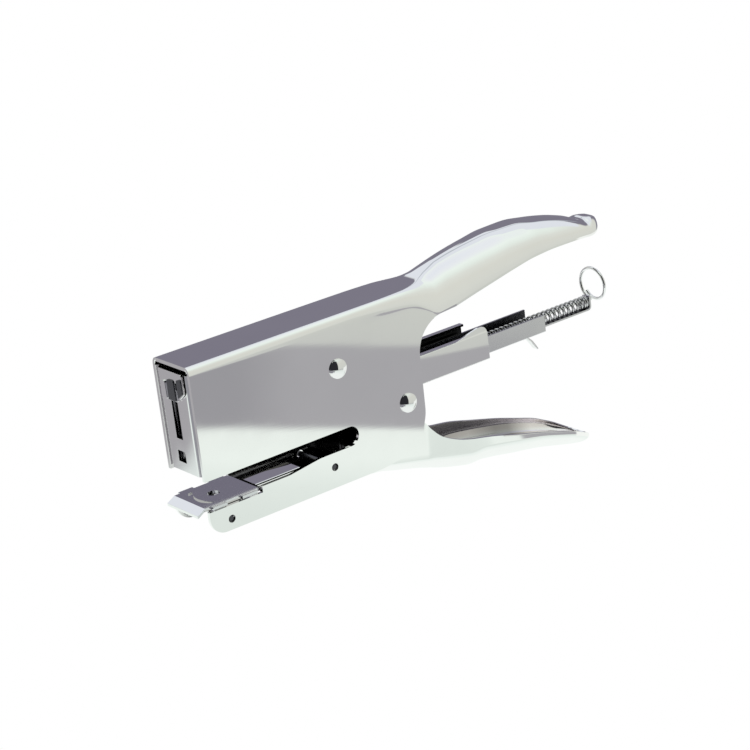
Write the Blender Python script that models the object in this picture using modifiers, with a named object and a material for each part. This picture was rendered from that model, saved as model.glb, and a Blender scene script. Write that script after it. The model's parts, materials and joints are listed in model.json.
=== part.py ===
"""Plier stapler: a pressed head with its anvil arm and upper handle in one piece, a lower handle
that is the squeeze lever, a swinging magazine, a driver, and a pull-out staple rail with its pusher.

Every size is in millimetres and is turned into metres by MM where a mesh is made.
The body frame has x from the nose to the handles, y across, and z up from the flat top of the head.
An empty tips that frame up by BODY_PITCH, so that the stapler stands on its arm and lower handle.
"""
import math

import bmesh
import bpy
from mathutils import Matrix, Vector

MM = 0.001

# ---- driving dimensions -------------------------------------------------------------------------
BODY_PITCH = 8.0        # degrees
BODY_SHIFT = -88.73     # world x of the nose corner
BODY_LIFT = 54.79      # world z of the nose corner
CLEARANCE = 0.3         # running gap between pieces
SEAT_GAP = 0.15         # gap between pieces that are riveted or welded together
INSET = 0.04            # keeps the faces of two joined solids from lying in one plane

SHELL_HALF = 10.2       # half width of the head
SHELL_SHEET = 1.2
LEVER_HALF = 8.7        # half width over the lever's cheeks, just inside the side plates
LEVER_SHEET = 1.0
MAGAZINE_HALF = 7.4
MAGAZINE_SHEET = 0.8
RAIL_HALF = 5.5
RAIL_SHEET = 0.7

THROAT_TOP = -37.6
THROAT_BOTTOM = -44.3
THROAT_FRONT_BOTTOM = -45.9
THROAT_END = 60.1
ARM_BOTTOM = -56.1

PIVOT_X, PIVOT_Z = 81.3, -37.1
STOP_X, STOP_Z = 55.1, -17.0
RIVET_HEAD = 3.25
RIVET_SHANK = 2.0
PIN_RADIUS = 1.0
ANVIL_PIN_X, ANVIL_PIN_Z = 7.9, -52.5
ANVIL_HOLE_X = 8.6
ANVIL_HOLE = 2.1        # radius
BRACE_PIN_X, BRACE_PIN_Z = 49.2, -49.1
BRIDGE_PIN_X, BRIDGE_PIN_Z = 16.5, -9.5
BRIDGE_PIN_RADIUS = 1.25

MAGAZINE_FLOOR = -34.1  # underside of the floor
MAGAZINE_TOP = -21.9
MAGAZINE_FRONT_TOP = -24.2
MAGAZINE_REAR = 119.6
NOSE_TOP = -3.0
NOSE_BOTTOM = -36.5
NOSE_SHEET = 0.9
CLIP_FRONT = -1.4
CLIP_BACK = -0.35
BLADE_FRONT = 1.2
BLADE_SHEET = 0.6
STRIP_FRONT = 2.1
STRIP_REAR = 28.0
RAIL_FLOOR = -33.0      # underside of the floor
RAIL_TOP = -27.0
RAIL_WALL_END = 146.8
RAIL_END = 171.0
TAB_TOP = -28.0
TAB_HALF = 1.8
ROD_Z = -29.3
ROD_RADIUS = 0.55
RING_RADIUS = 5.7
PUSHER_FRONT = 28.4

# Stations of the upper handle: x, top line, half width, fillet width, fillet height, lower edge.
UPPER_STATIONS = [
    (0.0, 0.0, 10.2, 2.5, 2.5, -57.5),
    (60.0, 0.0, 10.2, 2.5, 2.5, -57.5),
    (72.0, 0.0, 10.2, 2.5, 3.1, -57.5),
    (85.0, 0.0, 10.2, 3.0, 4.4, -57.5),
    (89.0, 0.04, 10.2, 3.8, 5.4, -57.5),
    (93.3, 0.3, 10.2, 5.6, 7.9, -46.0),
    (98.0, 1.25, 10.2, 7.8, 11.6, -28.0),
    (105.0, 3.2, 10.5, 9.6, 12.9, -10.6),
    (113.0, 5.0, 11.0, 10.4, 12.7, -8.6),
    (122.0, 6.4, 11.4, 10.7, 12.0, -6.5),
    (131.0, 7.4, 11.7, 10.6, 11.1, -4.5),
    (140.0, 7.5, 11.7, 10.4, 9.6, -3.0),
    (149.0, 6.4, 11.4, 10.0, 8.2, -2.5),
    (158.0, 4.7, 10.6, 9.2, 6.8, -2.8),
    (165.0, 2.7, 9.3, 8.0, 5.4, -3.5),
    (170.3, 0.85, 7.6, 6.4, 4.2, -4.2),
    (171.8, 1.2, 6.9, 5.6, 4.8, -4.2),
    (174.5, 0.95, 5.2, 4.1, 4.5, -4.2),
    (176.5, 0.15, 3.4, 2.6, 3.8, -4.1),
    (177.4, -0.5, 2.0, 1.6, 3.1, -4.0),
    (177.8, -1.4, 0.0, 0.8, 2.2, -4.0),
]
# Stations of the lower handle: x, bottom line, half width, fillet width, fillet height, rim.
LOWER_STATIONS = [
    (66.0, -58.1, 8.7, 3.0, 3.0, -45.0),
    (76.0, -60.4, 8.7, 3.4, 3.4, -45.0),
    (86.0, -63.1, 8.7, 4.0, 4.0, -45.0),
    (88.4, -63.9, 8.7, 4.2, 4.2, -47.0),
    (90.5, -64.6, 8.9, 4.6, 4.6, -49.8),
    (94.5, -65.9, 9.5, 5.0, 5.0, -53.7),
    (101.0, -67.4, 10.5, 5.4, 5.4, -56.7),
    (106.0, -68.2, 11.1, 5.5, 5.5, -58.0),
    (110.0, -67.9, 11.5, 5.6, 5.6, -58.7),
    (114.0, -68.3, 11.8, 5.6, 5.6, -59.5),
    (124.0, -70.0, 12.0, 5.6, 5.6, -62.2),
    (135.0, -71.8, 11.7, 5.2, 5.2, -65.1),
    (144.0, -73.9, 11.4, 4.8, 4.8, -67.9),
    (151.0, -75.7, 10.8, 4.4, 4.4, -70.1),
    (155.0, -76.7, 9.9, 4.0, 4.0, -71.9),
    (158.0, -77.4, 8.6, 3.4, 3.4, -73.3),
    (160.6, -77.8, 7.0, 2.8, 2.6, -74.9),
    (162.6, -78.1, 5.0, 2.0, 1.7, -76.1),
    (164.0, -78.3, 2.8, 1.4, 1.1, -76.9),
    (164.8, -78.35, 0.0, 0.8, 0.6, -77.2),
]

# ---- colours ------------------------------------------------------------------------------------
CHROME = ((0.78, 0.79, 0.78), 1.0, 0.12)
DARK_STEEL = ((0.20, 0.20, 0.22), 1.0, 0.30)
SPRING_STEEL = ((0.42, 0.42, 0.43), 1.0, 0.25)
BRIGHT_STEEL = ((0.66, 0.67, 0.68), 1.0, 0.20)


# ---- scene and parenting ------------------------------------------------------------------------
def clear_scene():
    for obj in list(bpy.data.objects):
        bpy.data.objects.remove(obj, do_unlink=True)


def new_collection(name):
    collection = bpy.data.collections.new(name)
    bpy.context.scene.collection.children.link(collection)
    return collection


def new_empty(name, x, z, parent=None):
    """An empty at (x, 0, z) of the body frame, on a joint's axis."""
    empty = bpy.data.objects.new(name, None)
    empty.empty_display_size = 0.01
    PARTS.objects.link(empty)
    empty.parent = parent
    offset = (parent["body_x"], parent["body_z"]) if parent else (0.0, 0.0)
    empty.location = ((x - offset[0]) * MM, 0.0, (z - offset[1]) * MM)
    empty["body_x"] = x
    empty["body_z"] = z
    return empty


def attach(obj, empty):
    """Parent an object whose mesh is in the body frame to a joint's empty."""
    obj.parent = empty
    obj.location = (-empty["body_x"] * MM, 0.0, -empty["body_z"] * MM)
    return obj


def colour(obj, finish):
    rgb, metallic, roughness = finish
    material = bpy.data.materials.new(obj.name)
    material.use_nodes = True
    shader = material.node_tree.nodes["Principled BSDF"]
    shader.inputs["Base Color"].default_value = (*rgb, 1.0)
    shader.inputs["Metallic"].default_value = metallic
    shader.inputs["Roughness"].default_value = roughness
    obj.data.materials.clear()
    obj.data.materials.append(material)


def mesh_object(name, bm):
    """A mesh object from a bmesh in millimetres."""
    bmesh.ops.scale(bm, vec=(MM, MM, MM), verts=bm.verts)
    mesh = bpy.data.meshes.new(name)
    bm.to_mesh(mesh)
    bm.free()
    obj = bpy.data.objects.new(name, mesh)
    PARTS.objects.link(obj)
    return obj


def smooth(obj, degrees=35.0):
    obj.data.shade_smooth()
    obj.data.set_sharp_from_angle(angle=math.radians(degrees))


def piece(obj, empty, finish):
    """Finish a named sub-part: its parent empty and its material."""
    attach(obj, empty)
    colour(obj, finish)
    smooth(obj)
    return obj


# ---- shapes -------------------------------------------------------------------------------------
def block(name, x, y, z):
    """A box given by its (low, high) limits along each axis."""
    bm = bmesh.new()
    bmesh.ops.create_cube(bm, size=1.0)
    size = [limits[1] - limits[0] for limits in (x, y, z)]
    middle = [(limits[1] + limits[0]) / 2 for limits in (x, y, z)]
    bmesh.ops.scale(bm, vec=size, verts=bm.verts)
    bmesh.ops.translate(bm, vec=middle, verts=bm.verts)
    return mesh_object(name, bm)


def cross_rod(name, x, z, y, radius, segments=24):
    """A cylinder along y between the limits y."""
    bm = bmesh.new()
    bmesh.ops.create_cone(bm, cap_ends=True, segments=segments, radius1=radius, radius2=radius,
                          depth=y[1] - y[0])
    bmesh.ops.rotate(bm, verts=bm.verts, matrix=Matrix.Rotation(math.radians(90), 3, "X"))
    bmesh.ops.translate(bm, vec=(x, (y[0] + y[1]) / 2, z), verts=bm.verts)
    return mesh_object(name, bm)


def rod_along_x(name, x, z, radius, segments=16):
    """A cylinder along x between the limits x, on the plane y = 0."""
    bm = bmesh.new()
    bmesh.ops.create_cone(bm, cap_ends=True, segments=segments, radius1=radius, radius2=radius,
                          depth=x[1] - x[0])
    bmesh.ops.rotate(bm, verts=bm.verts, matrix=Matrix.Rotation(math.radians(90), 3, "Y"))
    bmesh.ops.translate(bm, vec=((x[0] + x[1]) / 2, 0.0, z), verts=bm.verts)
    return mesh_object(name, bm)


def round_corners(corners, steps=4):
    """Points of an outline whose corners (a, b, radius) are rounded by arcs."""
    points = []
    for i, (a, b, radius) in enumerate(corners):
        if radius == 0:
            points.append((a, b))
            continue
        corner = Vector((a, b))
        to_before = (Vector(corners[i - 1][:2]) - corner).normalized()
        to_after = (Vector(corners[(i + 1) % len(corners)][:2]) - corner).normalized()
        half = to_before.angle(to_after) / 2
        centre = corner + (to_before + to_after).normalized() * radius / math.sin(half)
        first = corner + to_before * radius / math.tan(half) - centre
        last = corner + to_after * radius / math.tan(half) - centre
        start = math.atan2(first.y, first.x)
        sweep = (math.atan2(last.y, last.x) - start + math.pi) % (2 * math.pi) - math.pi
        for step in range(steps + 1):
            angle = start + sweep * step / steps
            points.append((centre.x + radius * math.cos(angle), centre.y + radius * math.sin(angle)))
    return points


def flat_outline(name, points, thickness, place):
    """A flat outline as a filled 2D curve, made a mesh and moved by the matrix place."""
    curve = bpy.data.curves.new(name, "CURVE")
    curve.dimensions = "2D"
    curve.fill_mode = "BOTH"
    curve.extrude = thickness / 2
    spline = curve.splines.new("POLY")
    spline.points.add(len(points) - 1)
    for point, (a, b) in zip(spline.points, points):
        point.co = (a, b, 0.0, 1.0)
    spline.use_cyclic_u = True
    drawn = bpy.data.objects.new(name, curve)
    PARTS.objects.link(drawn)
    graph = bpy.context.evaluated_depsgraph_get()
    mesh = bpy.data.meshes.new_from_object(drawn.evaluated_get(graph))
    bpy.data.objects.remove(drawn)
    bpy.data.curves.remove(curve)
    bm = bmesh.new()
    bm.from_mesh(mesh)
    bpy.data.meshes.remove(mesh)
    bmesh.ops.remove_doubles(bm, verts=bm.verts, dist=1e-4)
    bmesh.ops.transform(bm, matrix=place, verts=bm.verts)
    bmesh.ops.recalc_face_normals(bm, faces=bm.faces)
    return mesh_object(name, bm)


def side_plate(name, points, y):
    """An outline in x and z, as thick as the limits y."""
    place = Matrix.Translation((0, (y[0] + y[1]) / 2, 0)) @ Matrix.Rotation(math.radians(90), 4, "X")
    return flat_outline(name, points, y[1] - y[0], place)


def upright_prism(name, points, z):
    """An outline in x and y, as tall as the limits z."""
    return flat_outline(name, points, z[1] - z[0], Matrix.Translation((0, 0, (z[0] + z[1]) / 2)))


def lengthwise_prism(name, points, x):
    """An outline in y and z, as long as the limits x."""
    turn = Matrix(((0, 0, 1, 0), (1, 0, 0, 0), (0, 1, 0, 0), (0, 0, 0, 1)))
    return flat_outline(name, points, x[1] - x[0], Matrix.Translation(((x[0] + x[1]) / 2, 0, 0)) @ turn)


def wire(name, points, radius):
    """A round wire through the points, as a poly curve with capped ends."""
    curve = bpy.data.curves.new(name, "CURVE")
    curve.dimensions = "3D"
    curve.bevel_depth = radius * MM
    curve.bevel_resolution = 2
    curve.use_fill_caps = True
    spline = curve.splines.new("POLY")
    spline.points.add(len(points) - 1)
    for point, place in zip(spline.points, points):
        point.co = (*(value * MM for value in place), 1.0)
    obj = bpy.data.objects.new(name, curve)
    PARTS.objects.link(obj)
    return obj


def wire_piece(obj, empty, finish):
    attach(obj, empty)
    colour(obj, finish)
    return obj


# ---- modifiers ----------------------------------------------------------------------------------
def boolean(obj, other, operation):
    """Cut or join obj with other, which becomes a hidden cutter beside it."""
    modifier = obj.modifiers.new(other.name, "BOOLEAN")
    modifier.operation = operation
    modifier.solver = "EXACT"
    modifier.object = other
    for collection in list(other.users_collection):
        collection.objects.unlink(other)
    CUTTERS.objects.link(other)
    other.hide_render = True
    other.display_type = "WIRE"
    CUTTER_OWNERS.append((other, obj))


def attach_cutters():
    """Give each cutter the parent and place of the piece that it shapes."""
    for cutter, owner in CUTTER_OWNERS:
        cutter.parent = owner.parent
        cutter.location = owner.location


def mirror_across(obj):
    modifier = obj.modifiers.new("both sides", "MIRROR")
    modifier.use_axis = (False, True, False)
    modifier.merge_threshold = 0.00001


def thicken(obj, thickness):
    modifier = obj.modifiers.new("sheet", "SOLIDIFY")
    modifier.thickness = thickness * MM
    modifier.offset = -1.0
    modifier.use_even_offset = True


# ---- lofted handles -----------------------------------------------------------------------------
FILLET_STEPS = 6
SMALL_FILLET = 2.5      # wider fillets than this have a flatter crown


def station_at(stations, x):
    """The values between stations at x, by a cubic through the stations."""
    index = max(i for i, station in enumerate(stations[:-1]) if station[0] <= x)
    low, high = stations[index], stations[index + 1]
    span = high[0] - low[0]
    t = (x - low[0]) / span

    def slope(i, k):
        if i in (0, len(stations) - 1):
            return 0.0
        before, here, after = stations[i - 1], stations[i], stations[i + 1]
        rise_in = (here[k] - before[k]) / (here[0] - before[0])
        rise_out = (after[k] - here[k]) / (after[0] - here[0])
        if rise_in * rise_out <= 0:
            return 0.0
        return 2 * rise_in * rise_out / (rise_in + rise_out)

    values = []
    for k in range(1, len(low)):
        a = (2 * t**3 - 3 * t**2 + 1) * low[k] + (t**3 - 2 * t**2 + t) * span * slope(index, k)
        b = (3 * t**2 - 2 * t**3) * high[k] + (t**3 - t**2) * span * slope(index + 1, k)
        values.append(a + b)
    return values


def sheet_rib(level, half, width, height, edge, up):
    """Half a channel section from its middle line to its edge; up is 1 when the roof is on top."""
    width = min(width, half)
    height = min(height, max((level - edge) * up, 0.2))
    flatness = 1 - 0.01 * max(width - SMALL_FILLET, 0.0)
    rib = [(0.0, level), ((half - width) * 0.6, level)]
    for step in range(FILLET_STEPS + 1):
        angle = math.pi / 2 * step / FILLET_STEPS
        across = half - width + width * math.sin(angle) ** flatness
        rib.append((across, level - up * height * (1 - math.cos(angle))))
    rib.append((half, edge))
    return rib


def channel_loft(name, stations, columns, up):
    """The half of a pressed channel at -y, lofted along x, open at the middle plane."""
    bm = bmesh.new()
    rows = []
    for x in columns:
        level, half, width, height, edge = station_at(stations, x)
        rib = sheet_rib(level, max(half, 0.0), width, height, edge, up)
        rows.append([bm.verts.new((x, -y, z)) for y, z in rib])
    for row, following in zip(rows, rows[1:]):
        for i in range(len(row) - 1):
            corners = [row[i], row[i + 1], following[i + 1], following[i]]
            bm.faces.new(corners if up > 0 else corners[::-1])
    bmesh.ops.remove_doubles(bm, verts=bm.verts, dist=1e-3)
    bmesh.ops.dissolve_degenerate(bm, edges=bm.edges, dist=1e-3)
    return mesh_object(name, bm)


def steps_between(low, high, count):
    return [low + (high - low) * i / count for i in range(count)]


# ---- the fixed body: shell, anvil, brace, rivets, return spring -----------------------------------
def throat_cutter():
    """The slot for the paper, which opens at the nose, with the lower ledge that seats the anvil."""
    radius = (THROAT_TOP - THROAT_BOTTOM) / 2
    middle = (THROAT_TOP + THROAT_BOTTOM) / 2
    ledge = -47.95
    points = [(-9.0, ledge), (20.6, ledge), (20.6, THROAT_FRONT_BOTTOM), (31.5, THROAT_FRONT_BOTTOM),
              (44.0, THROAT_BOTTOM)]
    for step in range(9):
        angle = math.pi * (step / 8 - 0.5)
        points.append((THROAT_END - radius + radius * math.cos(angle), middle + radius * math.sin(angle)))
    points.append((-9.0, THROAT_TOP))
    return side_plate("throat_cut", points, (-14.0, 14.0))


def rear_cutter():
    """What is trimmed off the blank: below the arm, behind the side plates and under the handle."""
    corners = [
        (-9.0, ARM_BOTTOM, 0),
        (68.0, ARM_BOTTOM, 14.0),
        (81.5, -54.6, 10.0),
        (88.0, -45.0, 14.0),
        (88.4, -12.2, 12.0),
        (104.9, -10.6, 0),
        (112.0, -12.0, 0),
        (112.0, -64.0, 0),
        (-9.0, -64.0, 0),
    ]
    return side_plate("rear_cut", round_corners(corners, 6), (-14.0, 14.0))


def arm_corner_cutter():
    """Rounds the lower front corner of the arm."""
    radius = 5.6
    points = [(-9.0, ARM_BOTTOM + radius), (-9.0, -64.0), (radius, -64.0)]
    for step in range(7):
        angle = math.pi * (1.5 - step / 12)
        points.append((radius * (1 + math.cos(angle)), ARM_BOTTOM + radius * (1 + math.sin(angle))))
    return side_plate("arm_corner_cut", points, (-14.0, 14.0))


def build_shell(frame):
    columns = [0.0, 30.0, 60.0, *steps_between(80.0, 104.0, 6), *steps_between(104.0, 165.0, 11)]
    columns += [165.0, 167.6, 169.4, 170.3, 171.0, 171.8, 173.2, 174.5, 175.6, 176.5, 177.0, 177.4, 177.8]
    shell = channel_loft("body_shell", UPPER_STATIONS, columns, 1)
    mirror_across(shell)
    thicken(shell, SHELL_SHEET)
    boolean(shell, throat_cutter(), "DIFFERENCE")
    boolean(shell, rear_cutter(), "DIFFERENCE")
    boolean(shell, arm_corner_cutter(), "DIFFERENCE")
    for name, x, z, radius in (
        ("pivot_hole", PIVOT_X, PIVOT_Z, RIVET_SHANK),
        ("stop_hole", STOP_X, STOP_Z, RIVET_SHANK),
        ("anvil_pin_hole", ANVIL_PIN_X, ANVIL_PIN_Z, PIN_RADIUS),
        ("brace_pin_hole", BRACE_PIN_X, BRACE_PIN_Z, PIN_RADIUS),
    ):
        boolean(shell, cross_rod(name, x, z, (-14.0, 14.0), radius + SEAT_GAP), "DIFFERENCE")
    return piece(shell, frame, CHROME)


def build_anvil(frame):
    """The clinching plate on the arm's end, with ears inside the arm that take its pin."""
    top, sheet = -46.6, 1.0
    profile = [(20.2, top), (-0.5, top), (-3.4, -48.2), (-3.4, -49.1), (-0.8, top - sheet),
               (20.2, top - sheet)]
    anvil = side_plate("anvil_plate", profile, (-8.7, 8.7))
    for side in (-1, 1):
        ear = sorted((side * 7.7, side * 8.65))
        tab = sorted((side * 8.0, side * 10.0))
        boolean(anvil, block("anvil_ear", (3.0, 13.5), ear, (-54.6, top - 0.5)), "UNION")
        for low, high in ((1.8, 7.2), (13.0, 18.8)):
            boolean(anvil, block("anvil_tab", (low, high), tab, (top - sheet + 0.05, top - 0.05)), "UNION")
    boolean(anvil, cross_rod("anvil_bore", ANVIL_PIN_X, ANVIL_PIN_Z, (-12.0, 12.0), PIN_RADIUS + SEAT_GAP),
            "DIFFERENCE")
    hole = [(ANVIL_HOLE_X + ANVIL_HOLE * math.cos(a), ANVIL_HOLE * math.sin(a)) for a in
            (i * math.pi / 8 for i in range(16))]
    boolean(anvil, upright_prism("anvil_hole", hole, (-50.0, -45.0)), "DIFFERENCE")
    groove = [(x_arc(y, 1.0), y) for y in GROOVE_YS] + [(x_arc(y, 2.6), y) for y in reversed(GROOVE_YS)]
    boolean(anvil, upright_prism("clinch_groove", groove, (top - 0.45, top + 1.0)), "DIFFERENCE")
    return piece(anvil, frame, DARK_STEEL)


GROOVE_YS = [-6.4, -4.8, -3.2, -1.6, 0.0, 1.6, 3.2, 4.8, 6.4]


def x_arc(y, start):
    """The clinching groove bows towards the nose in the middle."""
    return start + 0.055 * y * y


def build_brace(frame):
    """An inverted channel that keeps the arm's two sides apart."""
    outer = [(-8.7, -55.0, 0), (-8.7, -47.6, 5.5), (8.7, -47.6, 5.5), (8.7, -55.0, 0)]
    inner = [(7.7, -55.0, 0), (7.7, -48.6, 4.5), (-7.7, -48.6, 4.5), (-7.7, -55.0, 0)]
    outline = round_corners(outer + inner)
    brace = lengthwise_prism("arm_brace", outline, (22.5, 54.0))
    boolean(brace, block("brace_notch", (40.0, 60.0), (-6.5, 6.5), (-52.0, -44.0)), "DIFFERENCE")
    boolean(brace, block("brace_floor", (38.0, 62.0), (-8.0, 8.0), (-54.4, -53.4)), "UNION")
    boolean(brace, cross_rod("brace_bore", BRACE_PIN_X, BRACE_PIN_Z, (-12.0, 12.0), PIN_RADIUS + SEAT_GAP),
            "DIFFERENCE")
    return piece(brace, frame, CHROME)


def build_rivet(name, x, z, frame):
    """A shank through both side plates with a low domed head on each side, as a turned profile."""
    outside = SHELL_HALF + SEAT_GAP
    dome = 1.3
    half = [(RIVET_SHANK, outside), (RIVET_HEAD, outside)]
    half += [(RIVET_HEAD * math.cos(a), outside + 0.35 + dome * math.sin(a)) for a in
             (i * math.pi / 6 for i in range(3))]
    half.append((0.0, outside + 0.35 + dome))
    profile = half[::-1] + [(radius, -along) for radius, along in half]
    bm = bmesh.new()
    verts = [bm.verts.new((radius, 0.0, along)) for radius, along in profile]
    for start, end in zip(verts, verts[1:]):
        bm.edges.new((start, end))
    rivet = mesh_object(name, bm)
    screw = rivet.modifiers.new("turned", "SCREW")
    screw.steps = 16
    screw.render_steps = 16
    screw.use_merge_vertices = True
    screw.merge_threshold = 0.00001
    attach(rivet, frame)
    rivet.location.x += x * MM
    rivet.location.z += z * MM
    rivet.rotation_euler.x = math.radians(90)
    colour(rivet, BRIGHT_STEEL)
    smooth(rivet, 50)
    return rivet


def build_sleeve(frame):
    sleeve = cross_rod("spring_sleeve", STOP_X, STOP_Z, (-7.0, 7.0), 3.0)
    bore = cross_rod("sleeve_bore", STOP_X, STOP_Z, (-9.0, 9.0), RIVET_SHANK + CLEARANCE)
    boolean(sleeve, bore, "DIFFERENCE")
    return piece(sleeve, frame, DARK_STEEL)


def tangent_angle(x, z, radius, side):
    """Where a straight leg to (x, z) leaves a coil around the stop rivet."""
    reach = math.hypot(x - STOP_X, z - STOP_Z)
    return math.atan2(z - STOP_Z, x - STOP_X) + side * math.acos(radius / reach)


def build_return_spring(frame):
    """A double torsion spring: one front leg under the bridge pin, two rear legs under the roof."""
    radius, thickness, turns = 3.9, 0.5, 3
    rear = (76.0, -SHELL_SHEET - CLEARANCE - thickness)
    front = (14.0, BRIDGE_PIN_Z - BRIDGE_PIN_RADIUS - CLEARANCE - thickness)
    start = tangent_angle(*rear, radius, 1)
    sweep = (tangent_angle(*front, radius, -1) - start) % (2 * math.pi) + 2 * math.pi * (turns - 1)
    outer, inner = 6.3, 2.4
    steps = 12 * turns
    half = [(rear[0], -outer, rear[1])]
    for step in range(steps + 1):
        angle = start + sweep * step / steps
        y = -outer + (outer - inner) * step / steps
        half.append((STOP_X + radius * math.cos(angle), y, STOP_Z + radius * math.sin(angle)))
    half += [(front[0] + 1.4, -inner, front[1]), (front[0] + 0.4, -inner + 0.4, front[1]),
             (front[0], -inner + 1.4, front[1])]
    points = half + [(x, -y, z) for x, y, z in reversed(half)]
    return wire_piece(wire("return_spring", points, thickness), frame, SPRING_STEEL)


def build_fixed_body(frame):
    build_shell(frame)
    build_anvil(frame)
    build_brace(frame)
    build_rivet("pivot_rivet", PIVOT_X, PIVOT_Z, frame)
    build_rivet("stop_rivet", STOP_X, STOP_Z, frame)
    build_sleeve(frame)
    build_return_spring(frame)
    for name, x, z in (("anvil_pin", ANVIL_PIN_X, ANVIL_PIN_Z), ("brace_pin", BRACE_PIN_X, BRACE_PIN_Z)):
        piece(cross_rod(name, x, z, (-SHELL_HALF, SHELL_HALF), PIN_RADIUS, 16), frame, BRIGHT_STEEL)


# ---- the squeeze lever ----------------------------------------------------------------------------
def lever_cheek(name, side):
    """The flat arm from the trough past the pivot to the nose, which drives the staple."""
    corners = [
        (86.6, -56.0, 2.0),
        (86.6, -26.0, 7.0),
        (72.0, -21.0, 8.0),
        (50.0, -19.5, 8.0),
        (34.0, -6.0, 10.0),
        (13.5, -4.0, 2.5),
        (13.5, -13.5, 3.0),
        (30.0, -16.5, 10.0),
        (44.0, -26.0, 10.0),
        (58.0, -30.5, 8.0),
        (67.0, -42.0, 8.0),
        (67.0, -56.0, 2.0),
    ]
    outline = round_corners(corners)
    limits = sorted((side * (LEVER_HALF - LEVER_SHEET + INSET), side * (LEVER_HALF - INSET)))
    return side_plate(name, outline, limits)


def build_lower_handle(lever):
    columns = [66.0, 72.0, 80.0, 86.0, 87.4, 88.4, 89.4, 90.5, 92.4, 94.5, 97.5, 101.0, 104.0, 106.0]
    columns += [108.0, 110.0, 114.0, 119.0, 124.0, 130.0, 135.0, 140.0, 144.0, 148.0, 151.0, 153.4, 155.6]
    columns += [157.4, 159.0, 160.4, 161.6, 162.6, 163.4, 164.0, 164.5, 164.8]
    handle = channel_loft("lower_handle", LOWER_STATIONS, columns, -1)
    mirror_across(handle)
    thicken(handle, LEVER_SHEET)
    for side, name in ((-1, "cheek_near"), (1, "cheek_far")):
        boolean(handle, lever_cheek(name, side), "UNION")
    bore = cross_rod("lever_bore", PIVOT_X, PIVOT_Z, (-14.0, 14.0), RIVET_SHANK + CLEARANCE)
    boolean(handle, bore, "DIFFERENCE")
    pin_bore = cross_rod("bridge_pin_bore", BRIDGE_PIN_X, BRIDGE_PIN_Z, (-14.0, 14.0),
                         BRIDGE_PIN_RADIUS + SEAT_GAP)
    boolean(handle, pin_bore, "DIFFERENCE")
    return piece(handle, lever, CHROME)


def build_bridge(lever):
    """The cross plate between the lever's cheeks that bears down on the driver."""
    half, sheet, low, high = 7.4, 1.0, -12.0, -5.6
    outline = [(-half, low), (-half, high), (half, high), (half, low), (half - sheet, low),
               (half - sheet, high - sheet), (sheet - half, high - sheet), (sheet - half, low)]
    bridge = lengthwise_prism("driver_bridge", outline, (12.0, 22.0))
    lip_z = (high - sheet + INSET, high - INSET)
    boolean(bridge, block("bridge_lip", (6.0, 13.0), (INSET - half, half - INSET), lip_z), "UNION")
    bore = cross_rod("bridge_bore", BRIDGE_PIN_X, BRIDGE_PIN_Z, (-14.0, 14.0), BRIDGE_PIN_RADIUS + SEAT_GAP)
    boolean(bridge, bore, "DIFFERENCE")
    return piece(bridge, lever, BRIGHT_STEEL)


def build_lever(lever):
    build_lower_handle(lever)
    build_bridge(lever)
    ends = (-LEVER_HALF, LEVER_HALF)
    pin = cross_rod("bridge_pin", BRIDGE_PIN_X, BRIDGE_PIN_Z, ends, BRIDGE_PIN_RADIUS, 16)
    piece(pin, lever, BRIGHT_STEEL)


# ---- the magazine ---------------------------------------------------------------------------------
def channel_outline(half, low, high, sheet, lip=0.0, corner=0.0):
    """A channel open at the top, in y and z, with inward lips of the given width."""
    outer = [(-half, high, corner if lip else 0), (-half, low, corner), (half, low, corner),
             (half, high, corner if lip else 0)]
    inner_corner = max(corner - sheet, 0)
    inner = [(half - sheet, low + sheet, inner_corner), (sheet - half, low + sheet, inner_corner)]
    if lip:
        right = [(half - lip, high, 0), (half - lip, high - sheet, 0),
                 (half - sheet, high - sheet, inner_corner)]
        left = [(-y, z, radius) for y, z, radius in reversed(right)]
        return round_corners(outer + right + inner + left, 3)
    return round_corners(outer + [(half - sheet, high, 0)] + inner + [(sheet - half, high, 0)], 3)


def build_channel(magazine):
    """The channel with its lips folded in, and one wall that rises to an ear at the rear."""
    outline = channel_outline(MAGAZINE_HALF, MAGAZINE_FLOOR, MAGAZINE_FRONT_TOP, MAGAZINE_SHEET, 2.2, 0.3)
    channel = lengthwise_prism("magazine_channel", outline, (2.4, MAGAZINE_REAR))
    inside = MAGAZINE_HALF - MAGAZINE_SHEET
    ear = [
        (100.0, MAGAZINE_FRONT_TOP - 1.5, 0),
        (106.0, MAGAZINE_FRONT_TOP - INSET, 8.0),
        (116.0, MAGAZINE_TOP, 5.0),
        (MAGAZINE_REAR - 2 * INSET, MAGAZINE_TOP - 0.4, 2.6),
        (MAGAZINE_REAR - 2 * INSET, MAGAZINE_FRONT_TOP - 4.0, 0),
        (100.0, MAGAZINE_FRONT_TOP - 4.0, 0),
    ]
    limits = (INSET - MAGAZINE_HALF, -inside - INSET)
    boolean(channel, side_plate("ear", round_corners(ear), limits), "UNION")
    return piece(channel, magazine, CHROME)


def build_nose(magazine):
    """The nose plate wraps around the front of the magazine and guides the driver."""
    half, depth, inner = LEVER_HALF, 7.5, LEVER_HALF - NOSE_SHEET
    corners = [(depth, -half, 0), (0.0, -half, 2.0), (0.0, half, 2.0), (depth, half, 0), (depth, inner, 0),
               (NOSE_SHEET, inner, 1.1), (NOSE_SHEET, -inner, 1.1), (depth, -inner, 0)]
    nose = upright_prism("nose_plate", round_corners(corners), (NOSE_BOTTOM, NOSE_TOP))
    for name, y, z in (
        ("nose_slot", (-1.1, 2.4), (-25.5, -5.0)),
        ("nose_window", (-1.2, 3.0), (-33.4, -29.6)),
    ):
        boolean(nose, block(name, (-2.0, 3.0), y, z), "DIFFERENCE")
    return piece(nose, magazine, BRIGHT_STEEL)


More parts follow.
